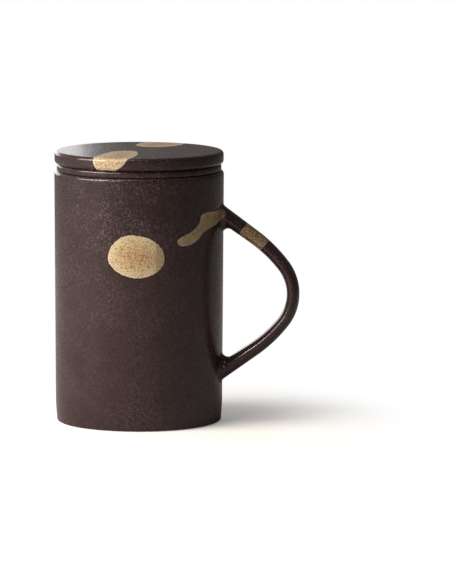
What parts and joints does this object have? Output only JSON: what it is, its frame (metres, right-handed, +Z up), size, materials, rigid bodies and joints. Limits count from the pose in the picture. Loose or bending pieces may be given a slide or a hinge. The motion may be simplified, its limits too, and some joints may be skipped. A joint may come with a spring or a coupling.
{
  "type": "lidded tea mug with infuser",
  "caption": "Tall cylindrical stoneware tea mug with a looped side handle, a strainer basket hung by its flange on the lip, and a flat lift-off lid.",
  "frame": {"origin": "centre of the foot ring, on the table", "axes": "+Z up along the cup's axis, +X from the axis towards the handle, +Y completes the right-handed set"},
  "size_m": [0.1195, 0.082, 0.1314],
  "materials": {
    "glazed_stoneware": "satin dark brown glaze over stoneware"
  },
  "bodies": {
    "mug": {"cup_body": "glazed_stoneware", "handle": "glazed_stoneware"},
    "infuser": {"infuser": "glazed_stoneware"},
    "lid": {"lid": "glazed_stoneware"}
  },
  "joints": [
    {"name": "infuser_lift", "type": "slide", "parent": "mug", "child": "infuser", "axis": [0, 0, 1], "range_m": [0, 0.12]},
    {"name": "lid_lift", "type": "slide", "parent": "infuser", "child": "lid", "axis": [0, 0, 1], "range_m": [0, 0.06]}
  ]
}
